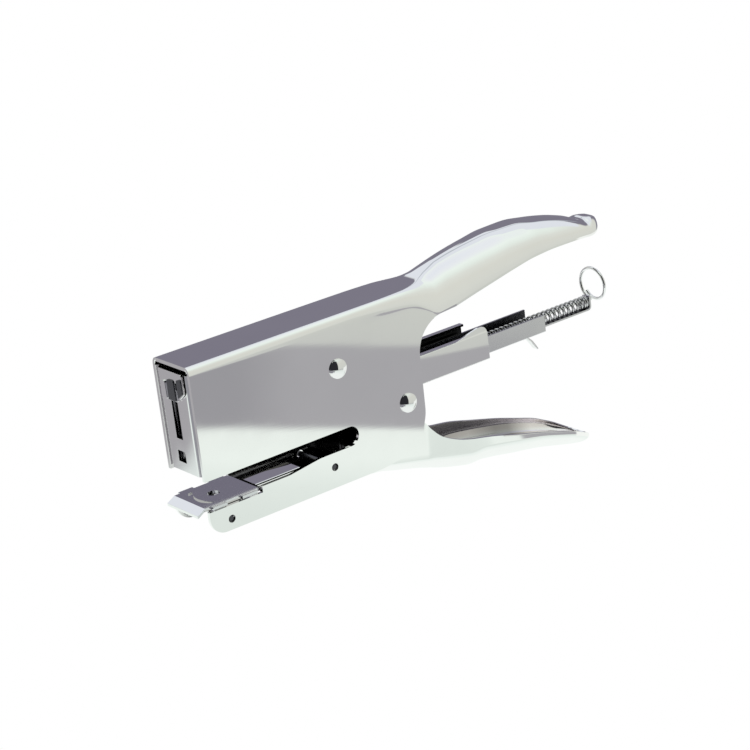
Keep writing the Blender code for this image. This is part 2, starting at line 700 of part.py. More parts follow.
def build_bracket(magazine):
    """A saddle under the magazine's floor that hangs it on the pivot rivet."""
    half, sheet, high, low = 6.4, 0.8, MAGAZINE_FLOOR - SEAT_GAP, -41.8
    web = 0.5
    outline = [(-half, low), (-half, high), (half, high), (half, low), (half - sheet, low),
               (half - sheet, high - web), (sheet - half, high - web), (sheet - half, low)]
    bracket = lengthwise_prism("magazine_bracket", outline, (74.0, 89.0))
    ear = [(70.0, -44.0, 0), (74.0, -34.6, 0), (77.2, -41.8, 4.0), (85.4, -41.8, 4.0), (89.0, -34.6, 0),
           (93.0, -44.0, 0)]
    boolean(bracket, side_plate("ear_trim", round_corners(ear), (-9.0, 9.0)), "DIFFERENCE")
    boolean(bracket, cross_rod("bracket_bore", PIVOT_X, PIVOT_Z, (-9.0, 9.0), RIVET_SHANK + CLEARANCE),
            "DIFFERENCE")
    return piece(bracket, magazine, BRIGHT_STEEL)


def build_staples(magazine):
    """The glued strip of staples that straddles the rail."""
    outer, inner, top, crown, foot = 6.3, 5.8, -26.1, 0.5, -32.5
    outline = [(-outer, foot), (-outer, top), (outer, top), (outer, foot), (inner, foot),
               (inner, top - crown), (-inner, top - crown), (-inner, foot)]
    strip = lengthwise_prism("staple_strip", outline, (STRIP_FRONT, STRIP_REAR))
    return piece(strip, magazine, SPRING_STEEL)


def build_magazine(magazine):
    build_channel(magazine)
    build_nose(magazine)
    build_bracket(magazine)
    build_staples(magazine)


# ---- the driver -----------------------------------------------------------------------------------
def build_driver(driver):
    """The blade that cuts one staple off the strip, with a shelf that the lever bears on."""
    front, back = BLADE_FRONT, BLADE_FRONT + BLADE_SHEET
    outline = [(front, -25.8), (back, -25.8), (back, -7.7), (10.5, -7.7), (10.5, -7.0), (front, -7.0)]
    piece(side_plate("driver_blade", outline, (-6.2, 6.2)), driver, SPRING_STEEL)
    outline = [
        (5.4, -12.2, 1.0), (5.9, -2.4, 0.8), (-7.0, -2.4, 0.8), (-7.0, -9.0, 1.2), (-3.9, -11.4, 0.3),
        (-3.9, -5.6, 0.4), (-2.9, -5.6, 0.4), (-2.9, -12.2, 0.3),
    ]
    clip = lengthwise_prism("driver_clip", round_corners(outline), (CLIP_FRONT, CLIP_BACK))
    neck = block("clip_neck", (CLIP_BACK - 0.4, BLADE_FRONT - SEAT_GAP), (-0.7, 2.0), (-11.2, -8.8))
    boolean(clip, neck, "UNION")
    piece(clip, driver, BRIGHT_STEEL)


# ---- the rail and the pusher ----------------------------------------------------------------------
def build_rail(follower):
    outline = channel_outline(RAIL_HALF, RAIL_FLOOR, RAIL_TOP, RAIL_SHEET, 0.0, 0.25)
    rail = lengthwise_prism("staple_rail", outline, (2.4, RAIL_WALL_END))
    tail = [(RAIL_WALL_END - 3.0, RAIL_FLOOR + 0.05, 0), (RAIL_END + 0.7, RAIL_FLOOR + 0.05, 1.4),
            (RAIL_END + 0.7, TAB_TOP, 0), (RAIL_END, TAB_TOP, 0), (RAIL_END, RAIL_FLOOR + 0.65, 0.8),
            (RAIL_WALL_END - 3.0, RAIL_FLOOR + 0.65, 0)]
    boolean(rail, side_plate("rail_tail", round_corners(tail), (-TAB_HALF, TAB_HALF)), "UNION")
    hole = rod_along_x("rod_hole", (RAIL_END - 2, RAIL_END + 3), ROD_Z, ROD_RADIUS + SEAT_GAP)
    boolean(rail, hole, "DIFFERENCE")
    return piece(rail, follower, DARK_STEEL)


def build_guide_rod(follower):
    """The rod inside the follower spring, whose end is wound into the pull ring."""
    centre_z = ROD_Z - 0.9 + RING_RADIUS
    points = [(30.0, 0.0, ROD_Z), (100.0, 0.0, ROD_Z), (RAIL_END + 1.6, 0.0, ROD_Z)]
    turns, pitch, steps = 1.12, 1.5, 22
    for step in range(steps + 1):
        angle = math.radians(-82) + 2 * math.pi * turns * step / steps
        along = RAIL_END + 3.0 + pitch * turns * step / steps
        points.append((along, RING_RADIUS * math.cos(angle), centre_z + RING_RADIUS * math.sin(angle)))
    return wire_piece(wire("guide_rod", points, ROD_RADIUS), follower, BRIGHT_STEEL)


def build_latch(follower):
    """The spring tongue under the rail that catches behind the magazine's floor."""
    outline = [(122.0, -33.7, 0), (122.0, -33.2, 0), (140.6, -33.2, 2.0), (144.0, -36.2, 2.0),
               (146.4, -39.8, 0), (145.9, -40.1, 0), (143.4, -36.5, 2.0), (140.3, -33.7, 2.0)]
    return piece(side_plate("rail_latch", round_corners(outline), (-1.3, 1.3)), follower, BRIGHT_STEEL)


def build_follower_spring(follower):
    """The long compression spring between the pusher and the rail's end."""
    radius, thickness, turns, per_turn = 1.85, 0.36, 18, 8
    middle = ROD_Z - 0.75
    low, high = PUSHER_FRONT + 12.6, RAIL_END - 0.7
    points = []
    for step in range(turns * per_turn + 1):
        angle = 2 * math.pi * step / per_turn
        along = low + (high - low) * step / (turns * per_turn)
        points.append((along, radius * math.cos(angle), middle + radius * math.sin(angle)))
    return wire_piece(wire("follower_spring", points, thickness), follower, SPRING_STEEL)


def build_pusher(pusher):
    """A saddle on the rail, with a tongue inside it that the spring pushes."""
    outer, skirt, top, sheet, foot = 6.3, 0.5, -25.4, 1.3, -32.3
    outline = [(-outer, foot), (-outer, top), (outer, top), (outer, foot), (outer - skirt, foot),
               (outer - skirt, top - sheet), (skirt - outer, top - sheet), (skirt - outer, foot)]
    saddle = lengthwise_prism("pusher", outline, (PUSHER_FRONT, PUSHER_FRONT + 14.0))
    tongue_x = (PUSHER_FRONT + 8.0, PUSHER_FRONT + 12.0)
    tongue = block("pusher_tongue", tongue_x, (-4.3, 4.3), (-31.5, top - 0.5))
    boolean(saddle, tongue, "UNION")
    boolean(saddle, rod_along_x("pusher_bore", (PUSHER_FRONT, PUSHER_FRONT + 20.0), ROD_Z,
                                ROD_RADIUS + CLEARANCE), "DIFFERENCE")
    return piece(saddle, pusher, DARK_STEEL)


# ---- assembly -------------------------------------------------------------------------------------
clear_scene()
PARTS = new_collection("plier_stapler")
CUTTERS = new_collection("cutters")
CUTTER_OWNERS = []

body = new_empty("body_frame", 0.0, 0.0)
body.location = (BODY_SHIFT * MM, 0.0, BODY_LIFT * MM)
body.rotation_euler.y = math.radians(-BODY_PITCH)
lever_axis = new_empty("squeeze_axis", PIVOT_X, PIVOT_Z, body)
magazine_axis = new_empty("magazine_axis", PIVOT_X, PIVOT_Z, body)
driver_guide = new_empty("driver_guide", BLADE_FRONT, -7.0, magazine_axis)
rail_guide = new_empty("rail_guide", RAIL_END, ROD_Z, magazine_axis)
pusher_guide = new_empty("pusher_guide", PUSHER_FRONT, ROD_Z, rail_guide)

build_fixed_body(body)
build_lever(lever_axis)
build_magazine(magazine_axis)
build_driver(driver_guide)
build_rail(rail_guide)
build_guide_rod(rail_guide)
build_latch(rail_guide)
build_follower_spring(rail_guide)
build_pusher(pusher_guide)
attach_cutters()
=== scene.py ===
"""Looks of the plier stapler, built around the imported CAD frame.

Sizes are in millimetres of the body frame, which has x from the nose to the handles, y across, and
z up from the flat top of the head. BODY turns them into metres of the frame that the CAD is in.
"""

import json
import math

import bmesh
import bpy
from mathutils import Matrix, Vector

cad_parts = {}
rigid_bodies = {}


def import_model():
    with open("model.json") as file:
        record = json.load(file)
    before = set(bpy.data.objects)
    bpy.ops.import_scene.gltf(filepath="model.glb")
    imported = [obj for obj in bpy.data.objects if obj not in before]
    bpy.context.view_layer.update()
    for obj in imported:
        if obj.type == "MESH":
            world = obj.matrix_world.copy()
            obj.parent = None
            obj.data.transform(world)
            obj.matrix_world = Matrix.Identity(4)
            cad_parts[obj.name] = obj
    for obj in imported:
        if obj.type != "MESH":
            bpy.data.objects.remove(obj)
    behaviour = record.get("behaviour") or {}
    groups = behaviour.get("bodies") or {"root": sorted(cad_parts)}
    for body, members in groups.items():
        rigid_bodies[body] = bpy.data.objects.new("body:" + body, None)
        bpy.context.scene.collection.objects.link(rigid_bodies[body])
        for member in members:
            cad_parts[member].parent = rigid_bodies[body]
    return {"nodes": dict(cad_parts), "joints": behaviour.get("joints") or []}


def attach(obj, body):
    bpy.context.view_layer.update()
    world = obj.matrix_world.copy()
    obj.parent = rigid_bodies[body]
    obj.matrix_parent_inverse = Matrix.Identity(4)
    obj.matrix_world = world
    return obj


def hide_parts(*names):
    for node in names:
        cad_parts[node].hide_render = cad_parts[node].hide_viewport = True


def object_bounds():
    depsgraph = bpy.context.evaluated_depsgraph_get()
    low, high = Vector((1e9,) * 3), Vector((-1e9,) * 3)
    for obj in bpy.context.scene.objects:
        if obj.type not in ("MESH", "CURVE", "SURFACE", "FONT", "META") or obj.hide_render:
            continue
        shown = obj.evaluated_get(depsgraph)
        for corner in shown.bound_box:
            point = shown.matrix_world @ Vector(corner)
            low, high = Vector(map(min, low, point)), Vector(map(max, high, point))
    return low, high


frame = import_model()
NODES = frame["nodes"]
CAD_BOX = [list(corner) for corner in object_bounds()]

MM = 0.001

# ---- the body frame, from the joints of the record ------------------------------------------------
JOINTS = {joint["name"]: joint for joint in frame["joints"]}
PIVOT_X, PIVOT_Z = 81.3, -37.1
SLIDE_AXIS = Vector(JOINTS["rail_slide"]["axis"])
PITCH = math.atan2(SLIDE_AXIS.z, SLIDE_AXIS.x)
BODY = (
    Matrix.Translation(Vector(JOINTS["squeeze"]["pos_m"]))
    @ Matrix.Rotation(-PITCH, 4, "Y")
    @ Matrix.Translation((-PIVOT_X * MM, 0.0, -PIVOT_Z * MM))
    @ Matrix.Scale(MM, 4)
)

# ---- sizes of the pressed parts, as in the CAD ----------------------------------------------------
STOP_X, STOP_Z = 55.1, -17.0
ANVIL_PIN_X, ANVIL_PIN_Z = 7.9, -52.5
BRACE_PIN_X, BRACE_PIN_Z = 49.2, -49.1
BRIDGE_PIN_X, BRIDGE_PIN_Z = 16.5, -9.5
BRIDGE_PIN_RADIUS = 1.25
SHELL_HALF, SHELL_SHEET = 10.2, 1.2
LEVER_HALF, LEVER_SHEET = 8.7, 1.0
THROAT_TOP, THROAT_BOTTOM, THROAT_END = -37.6, -44.3, 60.1
THROAT_FRONT_BOTTOM = -45.9
ARM_BOTTOM = -56.1
RIVET_HEAD, RIVET_SHANK = 3.25, 2.0
RIVET_SLOPE = 40.0      # degrees, at the edge of the dome
PIN_RADIUS = 1.0
GAP = 0.15
ROD_Z = -29.3
RAIL_END = 171.0
RING_RADIUS, ROD_RADIUS = 5.7, 0.55
PUSHER_FRONT = 28.4
STRIP_FRONT, STRIP_REAR = 2.1, 28.0

# Stations of the upper handle: x, top line, half width, fillet width, fillet height, lower edge.
UPPER_STATIONS = [
    (0.0, 0.0, 10.2, 2.0, 2.5, -12.0),
    (60.0, 0.0, 10.2, 2.0, 2.5, -12.0),
    (72.0, 0.0, 10.2, 2.0, 3.1, -12.0),
    (85.0, 0.0, 10.2, 2.7, 4.4, -12.0),
    (89.0, 0.01, 10.2, 3.8, 5.4, -12.0),
    (93.3, 0.14, 10.2, 5.6, 7.9, -12.0),
    (98.0, 1.0, 10.2, 7.8, 11.6, -12.0),
    (105.0, 3.2, 10.5, 9.6, 12.9, -10.6),
    (113.0, 5.0, 11.0, 10.4, 12.7, -8.6),
    (122.0, 6.4, 11.4, 10.7, 12.0, -6.5),
    (131.0, 7.4, 11.7, 10.6, 11.1, -4.5),
    (140.0, 7.5, 11.7, 10.4, 9.6, -3.0),
    (149.0, 6.4, 11.4, 10.0, 8.2, -2.5),
    (158.0, 4.7, 10.6, 9.2, 6.8, -2.8),
    (165.0, 2.7, 9.3, 8.0, 5.4, -3.5),
    (170.3, 0.85, 7.6, 6.4, 4.2, -4.2),
    (171.8, 1.2, 6.9, 5.6, 4.8, -4.2),
    (174.5, 0.95, 5.2, 4.1, 4.5, -4.2),
    (176.5, 0.15, 3.4, 2.6, 3.8, -4.1),
    (177.4, -0.5, 2.0, 1.6, 3.1, -4.0),
    (177.8, -1.4, 0.0, 0.8, 2.2, -4.0),
]
# Stations of the lower handle: x, bottom line, half width, fillet width, fillet height, rim.
LOWER_STATIONS = [
    (66.0, -58.1, 8.7, 3.0, 3.0, -45.0),
    (76.0, -60.4, 8.7, 3.4, 3.4, -45.0),
    (86.0, -63.1, 8.7, 4.0, 4.0, -45.0),
    (88.4, -63.9, 8.7, 4.2, 4.2, -47.0),
    (90.5, -64.6, 8.9, 4.6, 4.6, -49.8),
    (94.5, -65.9, 9.5, 5.0, 5.0, -53.7),
    (101.0, -67.4, 10.5, 5.4, 5.4, -56.7),
    (106.0, -68.2, 11.1, 5.5, 5.5, -58.0),
    (110.0, -67.9, 11.5, 5.6, 5.6, -58.7),
    (114.0, -68.3, 11.8, 5.6, 5.6, -59.5),
    (124.0, -70.0, 12.0, 5.6, 5.6, -62.2),
    (135.0, -71.8, 11.7, 5.2, 5.2, -65.1),
    (144.0, -73.9, 11.4, 4.8, 4.8, -67.9),
    (151.0, -75.7, 10.8, 4.4, 4.4, -70.1),
    (155.0, -76.7, 9.9, 4.0, 4.0, -71.9),
    (158.0, -77.4, 8.6, 3.4, 3.4, -73.3),
    (160.6, -77.8, 7.0, 2.8, 2.6, -74.9),
    (162.6, -78.1, 5.0, 2.0, 1.7, -76.1),
    (164.0, -78.3, 2.8, 1.4, 1.1, -76.9),
    (164.8, -78.35, 0.0, 0.8, 0.6, -77.2),
]


# ---- materials ------------------------------------------------------------------------------------
def shade(tree, kind, **inputs):
    """A shader node with the given input values; names use _ for a space."""
    made = tree.nodes.new(kind)
    for name, value in inputs.items():
        made.inputs[name.replace("_", " ")].default_value = value
    return made


def painted_shade_along(tree, place, colour, along):
    """The colour times a grey that changes along x: painted shade and painted reflections."""
    split = tree.nodes.new("ShaderNodeSeparateXYZ")
    tree.links.new(place, split.inputs["Vector"])
    low, high = along[0][0], along[-1][0]
    share = shade(tree, "ShaderNodeMapRange", From_Min=low * MM, From_Max=high * MM, To_Min=0.0, To_Max=1.0)
    tree.links.new(split.outputs["X"], share.inputs["Value"])
    ramp = tree.nodes.new("ShaderNodeValToRGB")
    tree.links.new(share.outputs["Result"], ramp.inputs["Fac"])
    marks = ramp.color_ramp.elements
    while len(marks) < len(along):
        marks.new(0.5)
    for mark, (x, grey) in zip(marks, along):
        mark.position = (x - low) / (high - low)
        mark.color = (grey, grey, grey, 1.0)
    mix = tree.nodes.new("ShaderNodeMix")
    mix.data_type = "RGBA"
    mix.blend_type = "MULTIPLY"
    mix.inputs["Factor"].default_value = 1.0
    first, second = (socket for socket in mix.inputs if socket.type == "RGBA")
    tree.links.new(colour, first)
    tree.links.new(ramp.outputs["Color"], second)
    return next(socket for socket in mix.outputs if socket.type == "RGBA")


def plated(name, colour, roughness, dullness=1.8, scratch=0.02, wave=0.02, stain=0.94, along=None):
    """Plated steel: fine scratches, soft waves of the pressed sheet, and uneven roughness.

    along gives painted shade and painted reflections: greys and their places on the frame's x axis in
    millimetres.
    """
    material = bpy.data.materials.new(name)
    material.use_nodes = True
    tree = material.node_tree
    shader = tree.nodes["Principled BSDF"]
    shader.inputs["Metallic"].default_value = 1.0
    place = tree.nodes.new("ShaderNodeTexCoord").outputs["Object"]

    smudges = shade(tree, "ShaderNodeTexNoise", Scale=70.0, Detail=4.0, Roughness=0.55)
    tree.links.new(place, smudges.inputs["Vector"])
    dull = shade(tree, "ShaderNodeMapRange", From_Min=0.45, From_Max=0.8, To_Min=roughness,
                 To_Max=roughness * dullness)
    tree.links.new(smudges.outputs["Fac"], dull.inputs["Value"])
    tree.links.new(dull.outputs["Result"], shader.inputs["Roughness"])

    tone = tree.nodes.new("ShaderNodeMix")
    tone.data_type = "RGBA"
    first, second = (socket for socket in tone.inputs if socket.type == "RGBA")
    first.default_value = (*colour, 1.0)
    second.default_value = (*(value * stain for value in colour), 1.0)
    tree.links.new(smudges.outputs["Fac"], tone.inputs["Factor"])
    mixed = next(socket for socket in tone.outputs if socket.type == "RGBA")
    # painted shade and painted reflections: the colour darkened by greys along x
    if along:
        mixed = painted_shade_along(tree, place, mixed, along)
    tree.links.new(mixed, shader.inputs["Base Color"])

    stretch = shade(tree, "ShaderNodeMapping", Scale=(60.0, 900.0, 900.0))
    tree.links.new(place, stretch.inputs["Vector"])
    scratches = shade(tree, "ShaderNodeTexNoise", Scale=2.0, Detail=3.0)
    tree.links.new(stretch.outputs["Vector"], scratches.inputs["Vector"])
    waves = shade(tree, "ShaderNodeTexNoise", Scale=22.0, Detail=1.0)
    tree.links.new(place, waves.inputs["Vector"])
    soft = shade(tree, "ShaderNodeBump", Strength=wave, Distance=0.002)
    tree.links.new(waves.outputs["Fac"], soft.inputs["Height"])
    fine = shade(tree, "ShaderNodeBump", Strength=scratch, Distance=0.00005)
    tree.links.new(scratches.outputs["Fac"], fine.inputs["Height"])
    tree.links.new(soft.outputs["Normal"], fine.inputs["Normal"])
    tree.links.new(fine.outputs["Normal"], shader.inputs["Normal"])
    return material


CHROME = plated("chrome", (0.96, 0.96, 0.95), 0.02, scratch=0.003, wave=0.01)
# inside of the shell sheet: greys along x darken most of it, painted shade
INNER = plated("chrome_inside", (0.90, 0.88, 0.88), 0.12, scratch=0.03,
               along=[(-80.0, 1.0), (-76.0, 0.25), (-60.0, 0.12), (60.0, 0.12), (66.0, 0.3)])
# inside of the lower handle's trough: greys along x, from near black to full, paint shade and reflections
TROUGH = plated("trough_inside", (0.90, 0.86, 0.86), 0.10, scratch=0.02,
                along=[(6.0, 0.03), (15.0, 0.04), (19.0, 0.5), (40.0, 0.6), (52.0, 0.35), (58.0, 0.4),
                       (68.0, 1.0), (88.0, 1.0)])
BRIGHT = plated("bright_steel", (0.90, 0.90, 0.90), 0.05, scratch=0.01)
PLATED = plated("plated_steel", (0.76, 0.76, 0.78), 0.07, scratch=0.01)
SPRING = plated("spring_steel", (0.62, 0.62, 0.63), 0.10, scratch=0.01)
# painted shade: a dark grey for the pins, the clip's prongs and the rail's insides
PAINTED_SHADE_GREY = plated("shaded_steel", (0.10, 0.10, 0.11), 0.25, scratch=0.01)
# painted shade: a near black for the driver blade, the brace's floor and the magazine's insides
PAINTED_SHADE_BLACK = plated("black_steel", (0.02, 0.02, 0.02), 0.30, scratch=0.01)
SLOTS = {"chrome": CHROME, "bright_steel": BRIGHT, "plated_steel": PLATED, "spring_steel": SPRING}
NODE_SLOTS = {
    "chrome": ("body_shell", "lower_handle", "magazine_channel", "arm_brace"),
    "bright_steel": (
        "nose_plate", "pivot_rivet", "stop_rivet", "anvil_pin", "brace_pin", "bridge_pin", "driver_bridge",
        "magazine_bracket", "driver_clip", "rail_latch", "guide_rod",
    ),
    "plated_steel": ("anvil_plate", "spring_sleeve", "staple_rail", "pusher"),
    "spring_steel": ("return_spring", "follower_spring", "staple_strip", "driver_blade"),
}
SLOT_OF = {name: slot for slot, names in NODE_SLOTS.items() for name in names}
BODY_OF = {name: obj.parent.name.removeprefix("body:") for name, obj in NODES.items()}


# ---- shapes ---------------------------------------------------------------------------------------
def round_corners(corners, steps=4):
    """Points of an outline whose corners (a, b, radius) are rounded by arcs."""
    points = []
    for i, (a, b, radius) in enumerate(corners):
        if radius == 0:
            points.append((a, b))
            continue
        corner = Vector((a, b))
        to_before = (Vector(corners[i - 1][:2]) - corner).normalized()
        to_after = (Vector(corners[(i + 1) % len(corners)][:2]) - corner).normalized()
        half = to_before.angle(to_after) / 2
        centre = corner + (to_before + to_after).normalized() * radius / math.sin(half)
        first = corner + to_before * radius / math.tan(half) - centre
        last = corner + to_after * radius / math.tan(half) - centre
        start = math.atan2(first.y, first.x)
        sweep = (math.atan2(last.y, last.x) - start + math.pi) % (2 * math.pi) - math.pi
        for step in range(steps + 1):
            angle = start + sweep * step / steps
            points.append((centre.x + radius * math.cos(angle), centre.y + radius * math.sin(angle)))
    return points


def circle(a, b, radius, steps=40):
    turn = 2 * math.pi / steps
    return [(a + radius * math.cos(turn * i), b + radius * math.sin(turn * i)) for i in range(steps)]


def filled(outlines, thickness=0.0):
    """A bmesh of the area between the outlines, in the xy plane; extruded if it has a thickness."""
    curve = bpy.data.curves.new("fill", "CURVE")
    curve.dimensions = "2D"
    curve.fill_mode = "BOTH"
    curve.extrude = thickness / 2
    for points in outlines:
        spline = curve.splines.new("POLY")
        spline.points.add(len(points) - 1)
        for point, (a, b) in zip(spline.points, points):
            point.co = (a, b, 0.0, 1.0)
        spline.use_cyclic_u = True
    drawn = bpy.data.objects.new("fill", curve)
    bpy.context.scene.collection.objects.link(drawn)
    mesh = bpy.data.meshes.new_from_object(drawn.evaluated_get(bpy.context.evaluated_depsgraph_get()))
    bpy.data.objects.remove(drawn)
    bpy.data.curves.remove(curve)
    bm = bmesh.new()
    bm.from_mesh(mesh)
    bpy.data.meshes.remove(mesh)
    bmesh.ops.remove_doubles(bm, verts=bm.verts, dist=1e-4)
    return bm


def turned(bm, columns, place=(0.0, 0.0, 0.0)):
    """Moves a bmesh so that its own axes point along the columns."""
    matrix = Matrix.Translation(place) @ Matrix(columns).transposed().to_4x4()
    bmesh.ops.transform(bm, matrix=matrix, verts=bm.verts)
    bmesh.ops.recalc_face_normals(bm, faces=bm.faces)
    return bm


def plate(outlines, low, high):
    """Outlines in x and z, as thick as the limits of y."""
    return turned(filled(outlines, high - low), ((1, 0, 0), (0, 0, 1), (0, -1, 0)), (0, (low + high) / 2, 0))


def upright(outlines, low, high):
    """Outlines in x and y, as tall as the limits of z."""
    return turned(filled(outlines, high - low), ((1, 0, 0), (0, 1, 0), (0, 0, 1)), (0, 0, (low + high) / 2))


def lengthwise(outlines, low, high):
    """Outlines in y and z, as long as the limits of x."""
    return turned(filled(outlines, high - low), ((0, 1, 0), (0, 0, 1), (1, 0, 0)), ((low + high) / 2, 0, 0))


def merged(*parts):
    """One bmesh of several."""
    whole = parts[0]
    for part in parts[1:]:
        mesh = bpy.data.meshes.new("part")
        part.to_mesh(mesh)
        part.free()
        whole.from_mesh(mesh)
        bpy.data.meshes.remove(mesh)
    return whole


def ribbon(bm, rows):
    """Faces between rows of points of equal length."""
    made = [[bm.verts.new(point) for point in row] for row in rows]
    for row, following in zip(made, made[1:]):
        for i in range(len(row) - 1):
            bm.faces.new((row[i], row[i + 1], following[i + 1], following[i]))


def show(obj, body, slot, replaced, material=None):
    bpy.context.scene.collection.objects.link(obj)
    obj.data.materials.append(material or SLOTS[slot])
    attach(obj, body)
    if replaced:
        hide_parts(*replaced)
    return obj


def piece(name, bm, like, replaced=None, smooth=35.0, material=None):
    """A mesh piece from a bmesh in the body frame, riding where the CAD node like rides."""
    bmesh.ops.transform(bm, matrix=BODY, verts=bm.verts)
    mesh = bpy.data.meshes.new(name)
    bm.to_mesh(mesh)
    bm.free()
    mesh.shade_smooth()
    if smooth:
        mesh.set_sharp_from_angle(angle=math.radians(smooth))
    obj = bpy.data.objects.new(name, mesh)
    return show(obj, BODY_OF[like], SLOT_OF[like], [like] if replaced is None else replaced, material)


def repaint(obj, material, chosen):
    """The material for the faces whose centre and normal in the body frame are chosen."""
    obj.data.materials.append(material)
    index = len(obj.data.materials) - 1
    to_body = BODY.inverted()
    turn = to_body.to_3x3()
    for face in obj.data.polygons:
        if chosen(to_body @ face.center, (turn @ face.normal).normalized()):
            face.material_index = index


def looks_inside(level):
    """A choice of the faces that look at a channel's middle line, which is at the level."""
    def chosen(centre, normal):
        return Vector((0.0, -centre.y, level - centre.z)).dot(normal) > 0.6
    return chosen


def mirror_across(obj):
    modifier = obj.modifiers.new("both sides", "MIRROR")
    modifier.use_axis = (False, True, False)
    modifier.use_clip = False
    modifier.merge_threshold = 0.00002


def thicken(obj, thickness, inside=None):
    modifier = obj.modifiers.new("sheet", "SOLIDIFY")
    modifier.thickness = thickness * MM
    modifier.offset = -1.0
    modifier.use_even_offset = True
    if inside:
        obj.data.materials.append(inside)
        modifier.material_offset = 1


def soften(obj, width, segments=2, angle=40.0):
    """Rounded edges, and normals that keep the flats flat."""
    bevel = obj.modifiers.new("edges", "BEVEL")
    bevel.width = width * MM
    bevel.segments = segments
    bevel.limit_method = "ANGLE"
    bevel.angle_limit = math.radians(angle)
    bevel.use_clamp_overlap = True
    bevel.miter_outer = "MITER_ARC"
    bevel.face_strength_mode = "FSTR_ALL"
    obj.data.shade_smooth()
    weighted = obj.modifiers.new("flats", "WEIGHTED_NORMAL")
    weighted.keep_sharp = True
    weighted.use_face_influence = True
    weighted.weight = 100


# ---- lofted sheets --------------------------------------------------------------------------------
def station_at(stations, x):
    """The values between stations at x, by a cubic through the stations."""
    index = max(i for i, station in enumerate(stations[:-1]) if station[0] <= x)
    low, high = stations[index], stations[index + 1]
    span = high[0] - low[0]
    t = (x - low[0]) / span

    def slope(i, k):
        if i in (0, len(stations) - 1):
            return 0.0
        before, here, after = stations[i - 1], stations[i], stations[i + 1]
        rise_in = (here[k] - before[k]) / (here[0] - before[0])
        rise_out = (after[k] - here[k]) / (after[0] - here[0])
        if rise_in * rise_out <= 0:
            return 0.0
        return 2 * rise_in * rise_out / (rise_in + rise_out)

    values = []
    for k in range(1, len(low)):
        a = (2 * t**3 - 3 * t**2 + 1) * low[k] + (t**3 - 2 * t**2 + t) * span * slope(index, k)
        b = (3 * t**2 - 2 * t**3) * high[k] + (t**3 - t**2) * span * slope(index + 1, k)
        values.append(a + b)
    return values


FLAT_STEPS, FILLET_STEPS, WALL_STEPS = 4, 16, 8
SMALL_FILLET = 2.5      # wider fillets than this have a flatter crown


def rib(level, half, width, height, edge, up):
    """Half a channel section from its middle line to its edge; up is 1 when the roof is on top."""
    width = min(width, half)
    height = min(height, max((level - edge) * up, 0.2))
    flat = half - width
    flatness = 1 - 0.01 * max(width - SMALL_FILLET, 0.0)
    points = [(flat * step / FLAT_STEPS, level) for step in range(FLAT_STEPS)]
    for step in range(FILLET_STEPS + 1):
        angle = math.pi / 2 * step / FILLET_STEPS
        across = flat + width * math.sin(angle) ** flatness
        points.append((across, level - up * height * (1 - math.cos(angle))))
    low = level - up * height
    points += [(half, low + (edge - low) * step / WALL_STEPS) for step in range(1, WALL_STEPS + 1)]
    return points


def spread(low, high, step):
    """Even columns from low up to, but without, high."""
    count = max(1, round((high - low) / step))
    return [low + (high - low) * i / count for i in range(count)]


# ---- body shell -----------------------------------------------------------------------------------
SEAM = -12.0            # below this height the side is one flat plate


def rear_edge():
    """The edge behind the side plate, from the arm's underside up and out under the handle."""
    corners = [(0.0, ARM_BOTTOM, 0), (68.0, ARM_BOTTOM, 14.0), (81.5, -54.6, 10.0), (88.0, -45.0, 14.0),
               (88.4, -12.2, 12.0), (104.9, -10.6, 0), (112.0, -12.0, 0)]
    return round_corners(corners, 16)[1:-1]


def crossing(points, level):
    """Splits a rising line of points at a height: the points below with the crossing, and those above."""
    i = next(k for k, point in enumerate(points) if point[1] > level)
    (x0, z0), (x1, z1) = points[i - 1], points[i]
    at = (x0 + (x1 - x0) * (level - z0) / (z1 - z0), level)
    return points[:i] + [at], [at] + points[i:]


def height_on(points, x):
    """The height of a line of points at x."""
    i = max(k for k, point in enumerate(points[:-1]) if point[0] <= x)
    (x0, z0), (x1, z1) = points[i], points[i + 1]
    return z0 + (z1 - z0) * (x - x0) / (x1 - x0)


CREASE = [(0.0, -4.2), (82.5, -4.3), (85.8, -4.5), (88.0, -5.0), (93.3, -7.4), (98.0, -10.7), (178.0, -60.0)]


def flank_swell(x, z):
    """How far the handle's flank stands proud of the flat side plate near the handle's root."""
    along = min(max((x - 62.0) / 26.0, 0.0), 1.0)
    line = height_on(CREASE, x)
    down = min(max((z - line + 1.2) / 2.4, 0.0), 1.0)
    return 0.05 * along * along * (3 - 2 * along) * down * down * (3 - 2 * down)


